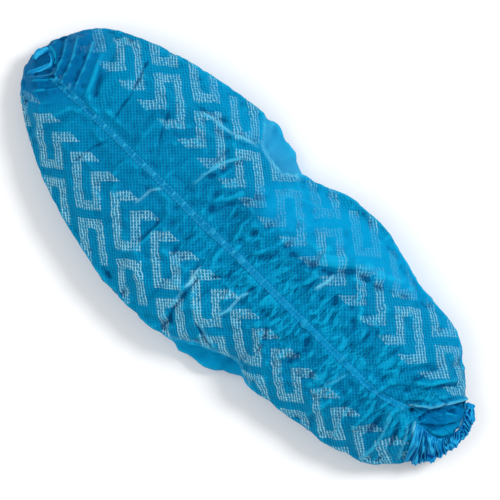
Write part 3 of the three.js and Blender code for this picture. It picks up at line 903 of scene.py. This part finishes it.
def clothMaterial(name, printed):
    finish = Finish(name)
    place = finish.objectPlace()
    flat, s, t = finish.seamPlace()
    relief, glow, sole = finish.attributes("relief", "glow", "sole")
    bare, deep, pucker, glint = finish.attributes("bare", "deep", "pucker", "glint")

    # bond dots, whose threads show more along one row than along the other
    step = nonwoven["dotPitch"] * math.sqrt(2)
    u = abs((s + t) / step % 1 - 0.5)
    v = abs((s - t) / step % 1 - 0.5)
    half = nonwoven["dotHalf"]
    dot = 1 - (u | v * 0.93).soft(half - 0.1, half + 0.12)
    cloudy = finish.noise(place, 230, 3, 0.6)
    patchy = finish.noise(place, 42, 3, 0.55)
    worn = finish.noise(place, 620, 2, 0.6)
    dotShare = dot * (0.45 + 0.8 * cloudy).clamped() * (1 - bare)
    dim = (v.soft(half, 0.5) * 0.3) * (1 - bare)

    first, second = (finish.creases(flat, *shape) for shape in nonwoven["smallCreases"])
    crumple = (first | second).soft(0.0, 1.0) * (pucker * 0.9 + 0.05)

    base = finish.mix((dotShare + dim).clamped(), nonwoven["net"], nonwoven["dot"])
    base = finish.mix(bare * (1 - glow) * 0.9, base, nonwoven["bare"])
    bright = finish.mix(dotShare, nonwoven["bright"], nonwoven["brightDot"])
    # painted light where it comes through a single layer
    tint = finish.mix(glow, base, bright)
    if printed:
        left = hookMask(s, t, (hooks["leftAlong"], hooks["leftAway"]), 1)
        right = hookMask(s, t, (hooks["rightAlong"], hooks["rightAway"]), -1)
        ink = left * (t > 0) * hooks["leftInk"] | right * (t < 0) * hooks["rightInk"]
        ink = ink * (1 - sole.soft(*hooks["runsOut"]))
        wear = worn.soft(0.3, 0.56) * (0.35 + 1.05 * patchy).clamped()
        ink = ink * wear * (1 - 0.6 * glow) * (1 - 0.75 * bare)
        threads = (u.soft(half - 0.05, 0.46) | v.soft(half, 0.5) * 0.6) * (0.6 + 0.8 * worn).clamped()
        printTint = finish.mix(threads, nonwoven["printDot"], nonwoven["print"])
        tint = finish.mix((ink * 0.9).clamped(), tint, printTint)
    # random darker patches, and painted shade where layers lie on each other
    shade = ((patchy - 0.5) * 0.6 + deep * 0.45 + (cloudy - 0.5) * 0.25).clamped()
    tint = finish.mix(shade * (1 - 0.7 * glow), tint, nonwoven["valley"])
    # painted shade in the hollows of the relief and between the small creases
    creaseGapShade = (1 - crumple).soft(0.55, 1.0) * pucker * 0.3
    low = (relief * -1).soft(0.1, 0.9) * (0.75 - 0.45 * glow) | creaseGapShade
    # painted highlight on the crests of the relief and of the small creases
    high = relief.soft(0.2, 0.85) * 0.5 | crumple.soft(0.6, 1.0) * 0.5
    tint = finish.mix(low, tint, nonwoven["valley"])
    tint = finish.mix(high, tint, nonwoven["crest"])
    # painted highlight where edges catch light, made patchy by the noise that wears the print
    tint = finish.mix(glint * (0.5 + 0.7 * worn), tint, nonwoven["edge"])

    fibres = finish.noise(place, 2600, 2, 0.7)
    raised = (1 - dot) * nonwoven["dotDeep"] * (1 - bare) + fibres * 0.05 + crumple * 1.5
    rough = nonwoven["roughness"] + 0.12 * (fibres - 0.5) - 0.12 * dot
    return finish.woven(tint, rough, raised, 0.7, nonwoven["shine"])


# The plain walls at the waists, and the light edges over them: where each starts and ends along the
# cover, the strength of its edge line and of the veil of light over it.
waists = {
    "left": {"span": (-66, -58, -6, 6), "line": 0.35, "veil": 0.0},
    "right": {"span": (2, 9, 42, 52), "line": 0.6, "veil": 0.16},
    "starts": 1.5,           # below the sole's edge
    "startFade": 2,
    "ends": 16,
    "endFade": 34,
    "lineAt": 0.6,
    "lineWide": 0.8,
}


def clothPanels(materials):
    cloth = buildCloth()
    for name, zones in (("glow", glowZones), ("bare", bareZones), ("deep", deepZones)):
        layer = cloth.verts.layers.float.new(name)
        for vert in cloth.verts:
            vert[layer] = zonesAt(zones, vert.co.x, vert.co.y) if vert.co.z > 4 else 0.0
    bareLayer, glintLayer, glowLayer = (cloth.verts.layers.float[name] for name in ("bare", "glint", "glow"))
    soleLayer = cloth.verts.layers.float["sole"]
    for vert in cloth.verts:
        wall, below = waists["right" if vert.co.y < 0 else "left"], vert[soleLayer]
        starting = smoothStep((below - waists["starts"]) / waists["startFade"])
        ending = smoothStep((below - waists["ends"]) / waists["endFade"])
        waist = bump(vert.co.x, *wall["span"])
        plain = waist * (starting * (1 - ending))
        line = wall["line"] * math.exp(-((below - waists["lineAt"]) / waists["lineWide"]) ** 2)
        vert[bareLayer] = max(vert[bareLayer], plain)
        # the plain walls get painted light, as if light came through them
        vert[glowLayer] = max(vert[glowLayer], plain)
        vert[glintLayer] = max(vert[glintLayer], plain * wall["veil"], waist * line)
    panels = []
    for name, node, keep in (("leftPanel", "left_panel", 0), ("rightPanel", "right_panel", 1)):
        half = cloth.copy()
        other = [face for face in half.faces if face.material_index != keep]
        bmesh.ops.delete(half, geom=other, context="FACES")
        panel = finishMesh(half, name, materials)
        thicken(panel, cover["cloth"], 1)
        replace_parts(panel, node)
        panels.append(panel)
        print(name, len(panel.data.polygons), "faces")
    return cloth, panels


printedCloth = clothMaterial("Printed non-woven", True)
plainCloth = clothMaterial("Plain non-woven", False)
cloth, panels = clothPanels([printedCloth, plainCloth])


# The sole's weld

weld = {
    "halfWidth": 2.3,
    "from": -148,
    "to": 168,
    "lift": 0.16,
    "thickness": 0.25,
    "railAway": 1.9,         # of the two welded lines, from the seam's middle
    "dashPitch": 2.4,
    "markPitch": 9.0,
    "markAside": 0.4,
    "markHigh": 0.6,
    "railHigh": 0.35,
    "toeColour": (-80, 30),  # the colour turns to the toe's between these places
    "shine": 0.05,
    "tint": colour(0, 124, 172),
    "heelTint": colour(0, 138, 188),
    # mark: the weld marks, and painted highlight on raised parts
    "mark": colour(40, 162, 206),
    # deep: darker patches and dashes, and painted shade in hollows
    "deep": colour(0, 88, 146),
}


def weldMaterial():
    finish = Finish("Welded seam")
    place = finish.objectPlace()
    _, s, t = finish.seamPlace()
    [relief] = finish.attributes("relief")
    rows = abs(abs(t) - weld["railAway"]).soft(0.8, 0.2)
    small = abs((s / weld["dashPitch"]) % 1 - 0.5).soft(0.34, 0.16)
    mark = abs((s / weld["markPitch"]) % 1 - 0.5).soft(0.13, 0.05) * abs(t + weld["markAside"]).soft(1.7, 0.9)
    cloudy = finish.noise(place, 300, 3, 0.6)
    toeShare = s.soft(*weld["toeColour"])
    tint = finish.mix(toeShare, weld["heelTint"], weld["tint"])
    tint = finish.mix((cloudy - 0.35) * 0.9, tint, weld["deep"])
    tint = finish.mix(rows * (0.1 + 0.4 * small), tint, weld["mark"])
    tint = finish.mix(mark * toeShare * 0.8, tint, weld["mark"])
    tint = finish.mix(rows * (1 - small) * 0.25, tint, weld["deep"])
    # painted shade in hollows, and painted highlight on raised parts
    tint = finish.mix((relief * -1).soft(0.1, 0.9) * 0.5, tint, weld["deep"])
    tint = finish.mix(relief.soft(0.0, 0.7) * 0.4, tint, weld["mark"])
    return finish.woven(tint, 0.5 + 0.2 * cloudy, cloudy * 0.25, 0.5, weld["shine"])


def seamWeld(cloth):
    strip = cloth.copy()
    uv = strip.loops.layers.uv["cloth"]
    away = []
    for face in strip.faces:
        middle = [sum(loop[uv].uv[k] for loop in face.loops) / len(face.loops) for k in (0, 1)]
        if abs(middle[1]) > weld["halfWidth"] or not weld["from"] < middle[0] < weld["to"]:
            away.append(face)
    bmesh.ops.delete(strip, geom=away, context="FACES")
    bmesh.ops.subdivide_edges(strip, edges=strip.edges, cuts=1, use_grid_fill=True)
    strip.normal_update()
    for vert in strip.verts:
        s = vert.co.x
        t = sum(loop[uv].uv[1] for loop in vert.link_loops) / len(vert.link_loops)
        markPlace = abs((s / weld["markPitch"]) % 1 - 0.5) * weld["markPitch"]
        markAway = abs(t + weld["markAside"])
        mark = (1 - smoothStep((markPlace - 0.5) / 0.8)) * (1 - smoothStep((markAway - 0.9) / 0.8))
        rows = math.exp(-((abs(t) - weld["railAway"]) / 0.5) ** 2)
        dash = 0.5 + 0.5 * math.cos(2 * math.pi * s / weld["dashPitch"])
        vert.co += vert.normal * (weld["lift"] + weld["markHigh"] * mark
                                   + weld["railHigh"] * rows * (0.4 + 0.6 * dash))
    piece = finishMesh(strip, "seamWeld", [weldMaterial()])
    thicken(piece, weld["thickness"])
    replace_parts(piece, "sole_seam")
    print("seamWeld", len(piece.data.polygons), "faces")


seamWeld(cloth)


# The gathered hem

hem = {
    "halfWidth": 4.4,
    "halfThickness": 1.5,
    "gather": 2.9,           # between two gathers
    "deep": 0.85,
    "alongSteps": 900,
    "aroundSteps": 14,
    "tint": colour(4, 142, 202),
    # crest: painted highlight on the gathers' crests
    "crest": colour(44, 178, 226),
    # painted shade in the gathers, and the colour of random darker patches
    "gatherShadeAndTone": colour(0, 62, 136),
    "shine": 0.06,
}


def hemMaterial():
    finish = Finish("Gathered hem")
    cloudy = finish.noise(finish.objectPlace(), 500, 3, 0.6)
    [relief] = finish.attributes("relief")
    tint = finish.mix((cloudy - 0.3) * 0.8, hem["tint"], hem["gatherShadeAndTone"])
    # painted shade in the gathers' hollows and painted highlight on their crests
    tint = finish.mix((relief * -1).soft(0.0, 0.4) * 0.95, tint, hem["gatherShadeAndTone"])
    tint = finish.mix(relief.soft(0.05, 0.4) * 0.75, tint, hem["crest"])
    return finish.woven(tint, 0.6 + 0.2 * cloudy, cloudy * 0.3, 0.5, hem["shine"])


# placeAt gives a place on the tube for a share of its length and an angle round it
def gatheredTube(name, material, settings, placeAt):
    tube = bmesh.new()
    steps, around = settings["alongSteps"], settings["aroundSteps"]
    bmesh.ops.create_grid(tube, x_segments=steps, y_segments=around, size=0.5)
    for vert in tube.verts:
        vert.co = placeAt(0.5 + vert.co.x, 2 * math.pi * (0.5 + vert.co.y))
    bmesh.ops.remove_doubles(tube, verts=tube.verts, dist=0.005)
    rims = [edge for edge in tube.edges if edge.is_boundary]
    bmesh.ops.holes_fill(tube, edges=rims, sides=0)
    bmesh.ops.recalc_face_normals(tube, faces=tube.faces)
    tube.normal_update()
    markRelief(tube)
    piece = finishMesh(tube, name, [material])
    print(name, len(piece.data.polygons), "faces")
    return piece


def hemPiece(side, name, node, material):
    steps = hem["alongSteps"]
    runs = [0.0]
    frames = []
    for k in range(steps + 1):
        turn = math.pi * k / steps
        at = math.cos(turn)
        here = mouthPoint(side, turn)
        ahead = mouthPoint(side, min(turn + 0.01, math.pi)) - mouthPoint(side, max(turn - 0.01, 0))
        ahead.normalize()
        inward = Vector((-ahead.y, ahead.x, 0)) * side
        turned = math.radians(cover["hemTurn"] * tipShare(at))
        free = inward * math.cos(turned) - Vector((0, 0, math.sin(turned)))
        thick = inward * math.sin(turned) + Vector((0, 0, math.cos(turned)))
        here.z = hemHeight(at)
        frames.append((here, free, thick))
        if k:
            runs.append(runs[-1] + (here - frames[-2][0]).length)

    def placeAt(share, angle):
        k = round(share * steps)
        here, free, thick = frames[k]
        run = runs[k] * (1 + side * 0.03)
        wander = 1.6 * noise.noise(Vector((run / 14, side * 3.0, 0.5)))
        wave = math.cos(2 * math.pi * (run + wander) / hem["gather"])
        wide, high = math.cos(angle), math.sin(angle)
        puff = 1 + 0.22 * wave + 0.25 * noise.noise(Vector((run / 5, wide * 1.5, side)))
        sway = 0.5 * noise.noise(Vector((run / 9, 4.0, side)))
        reach = hem["halfWidth"] * (1 + wide * (1 + 0.10 * wave)) + 0.3 + sway
        lift = hem["halfThickness"] * high * puff + hem["deep"] * 0.6 * wave * (0.3 + 0.7 * wide * wide)
        place = here + free * reach + thick * lift
        place.z = max(place.z, 0.1)
        return place

    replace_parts(gatheredTube(name, material, hem, placeAt), node)


gatheredCloth = hemMaterial()
hemPiece(1, "leftHem", "left_hem", gatheredCloth)
hemPiece(-1, "rightHem", "right_hem", gatheredCloth)


# The elastic's gathered end, which curls over the heel

ruffle = {
    "inner": [(-160, 6), (-165, 5), (-172, 5), (-178.5, 2.5),
              (-183, -4), (-184, -12), (-180, -20), (-176, -27)],
    "outer": [(-172, 30), (-181, 23), (-187, 13), (-190, 3),
              (-191, -6), (-190, -15), (-187, -22), (-181, -29)],
    "outerHeight": 15,
    "alongSteps": 330,
    "aroundSteps": 44,
    "thick": 1.5,
    "gather": 3.0,
    "deep": 1.7,
    "over": 1.2,             # how far it stands over the cloth under it
    "arch": 2.2,
    "evening": 12,           # rounds that even its height along its length
    "layers": ((2, 1.0, 0.0), (8, 1.5, 0.35), (15, 0.75, -0.1)),  # seed, pitch and start of its gathers
}


def clothTop(tree, x, y, fallback):  # height of the cloth under a place
    hit = tree.ray_cast(Vector((x, y, 200)), Vector((0, 0, -1)))[0]
    return hit.z if hit else fallback


def heelRuffle(tree, material):
    steps = ruffle["alongSteps"]
    inner = smoothLine([Vector((x, y, 0)) for x, y in ruffle["inner"]], steps)
    outer = smoothLine([Vector((x, y, 0)) for x, y in ruffle["outer"]], steps)
    runs = [0.0]
    for k in range(steps):
        runs.append(runs[-1] + ((outer[k + 1] - outer[k]).length + (inner[k + 1] - inner[k]).length) / 2)
    lanes = []
    for reach in (0, 0.25, 0.5, 0.75, 1):
        line = [a.lerp(b, reach) for a, b in zip(inner, outer)]
        tops = [clothTop(tree, p.x, p.y, ruffle["outerHeight"]) + ruffle["over"] for p in line]
        lanes.append(evened(tops, ruffle["evening"]))

    def placeAt(share, angle):
        k = round(share * steps)
        run = runs[k]
        reach = 0.5 - 0.5 * math.cos(angle)
        sway = 2.2 * noise.noise(Vector((run / 9, reach * 1.6, 9)))
        gathers = 0.0
        for seed, pitch, start in ruffle["layers"]:
            value = noise.noise(Vector(((run + sway) / (ruffle["gather"] * pitch), reach * 0.9, seed)))
            gathers = max(gathers, math.exp(-(value / 0.16) ** 2) * smoothStep((reach - start) / 0.25))
        taper = bump(share, -0.01, 0.05, 0.93, 1.01)
        ripple = ruffle["deep"] * (1.5 * gathers - 0.6) * bump(reach, -0.05, 0.1, 0.92, 1.6) * taper
        frill = 0.16 * noise.noise(Vector((run / 5, 1, 1))) + 0.12 * noise.noise(Vector((run / 1.9, 2, 1)))
        place = inner[k].lerp(outer[k], reach * (1 + frill * reach + 0.06 * gathers))
        lane = min(int(reach * 4), 3)
        height = between(lanes[lane][k], lanes[lane + 1][k], reach * 4 - lane)
        arch = ruffle["arch"] * math.sin(math.pi * reach) ** 0.8
        place.z = height + (arch + ripple) * taper + ruffle["thick"] / 2 * math.sin(angle)
        return place

    gatheredTube("heelRuffle", material, ruffle, placeAt)


# The gathered end at the toe, a band that winds once round itself and ends in a small tip

toeCurl = {
    "route": [(186.7, 3.8), (187.5, 0.1), (186.7, -3.3), (185.3, -6.2), (183.2, -7.8), (179.7, -6.8),
              (177.3, -4.8), (176.4, -1.8), (177.8, 2.4), (180.3, 6.4), (183.0, 10.3), (184.9, 13.8)],
    "wide": (1.2, 2.8, 3.4, 2.6, 1.2, 1.2, 1.5, 1.6, 1.5, 1.3, 1.2, 0.7),
    "height": 0.6,           # how much it climbs from end to end
    "tall": 3.2,
    "sunk": 1.3,             # into the cloth
    "evening": 30,
    "alongSteps": 300,
    "aroundSteps": 24,
    "gather": 6.2,
}


def toeTwist(tree, material):
    steps = toeCurl["alongSteps"]
    route = smoothLine([Vector((x, y, 0)) for x, y in toeCurl["route"]], steps)
    heights = evened([clothTop(tree, p.x, p.y, 16) for p in route], toeCurl["evening"])
    length = sum((b - a).length for a, b in zip(route, route[1:]))
    widths = toeCurl["wide"]

    def placeAt(share, angle):
        k = round(share * steps)
        ahead = route[min(k + 1, steps)] - route[max(k - 1, 0)]
        side = Vector((-ahead.y, ahead.x, 0)).normalized()
        span = share * (len(widths) - 1)
        i = min(int(span), len(widths) - 2)
        wide = between(widths[i], widths[i + 1], span - i)
        run = share * length
        twist = angle + run / 9
        wave = math.cos(3 * twist) + 0.5 * math.cos(2 * math.pi * run / toeCurl["gather"] + 2 * angle)
        taper = bump(share, -0.01, 0.06, 0.9, 1.01)
        lumps = 0.3 * noise.noise(Vector((run / 5, math.cos(twist), 7)))
        swell = (1 + 0.16 * wave + lumps) * (0.3 + 0.7 * taper)
        place = route[k] + side * (wide * math.cos(angle) * swell)
        rise = toeCurl["tall"] * (0.5 + 0.5 * taper) * (1 - 0.35 * share)
        rise *= 0.5 + 0.5 * math.sin(angle)
        place.z = heights[k] - toeCurl["sunk"] + toeCurl["height"] * share + rise * swell
        return place

    gatheredTube("toeTwist", material, toeCurl, placeAt)


clothTree = BVHTree.FromBMesh(cloth)
heelRuffle(clothTree, gatheredCloth)
toeTwist(clothTree, gatheredCloth)
cloth.free()


# Stage, light and camera

studio = {
    "floorSize": 6.0,
    "floor": colour(250, 250, 250),
    "floorGrain": colour(236, 238, 242),
    "world": 0.62,
    "lights": (("Key light", (-0.34, -0.9, 1.2), 0.5, 12.5), ("Fill light", (0.8, 0.6, 1.4), 1.4, 7)),
    "sensor": 36,
    "cameraHeight": 1.9,
    "frameWidth": 0.3283,
    "lookAt": (-0.00255, -0.00647),
    "turn": 223,
}


def makeFloor():
    finish = Finish("Pale floor")
    grain = finish.noise(finish.objectPlace(), 30, 2, 0.5)
    tint = finish.mix(grain * 0.05, studio["floor"], studio["floorGrain"])
    floor = bmesh.new()
    bmesh.ops.create_grid(floor, x_segments=1, y_segments=1, size=studio["floorSize"] / 2)
    piece = addObject("floor", meshFrom(floor, "floor"))
    piece.data.materials.append(finish.output({"Base Color": tint, "Roughness": 0.9}))


def areaLight(name, place, size, power):
    data = bpy.data.lights.new(name, "AREA")
    data.shape = "DISK"
    data.size = size
    data.energy = power
    light = addObject(name, data)
    light.location = place
    light.rotation_euler = (-Vector(place)).to_track_quat("-Z", "Y").to_euler()


def makeStudio():
    makeFloor()
    world = bpy.data.worlds.new("Soft studio")
    world.use_nodes = True
    background = world.node_tree.nodes["Background"]
    background.inputs["Color"].default_value = (1, 1, 1, 1)
    background.inputs["Strength"].default_value = studio["world"]
    bpy.context.scene.world = world
    for light in studio["lights"]:
        areaLight(*light)
    lens = bpy.data.cameras.new("Camera")
    lens.sensor_width = studio["sensor"]
    lens.lens = lens.sensor_width * studio["cameraHeight"] / studio["frameWidth"]
    camera = addObject("Camera", lens)
    camera.location = (*studio["lookAt"], studio["cameraHeight"] + 0.03)
    camera.rotation_euler = (0, 0, math.radians(studio["turn"]))
    bpy.context.scene.camera = camera
    bpy.context.scene.view_settings.view_transform = "Standard"


makeStudio()
print("studio ready")
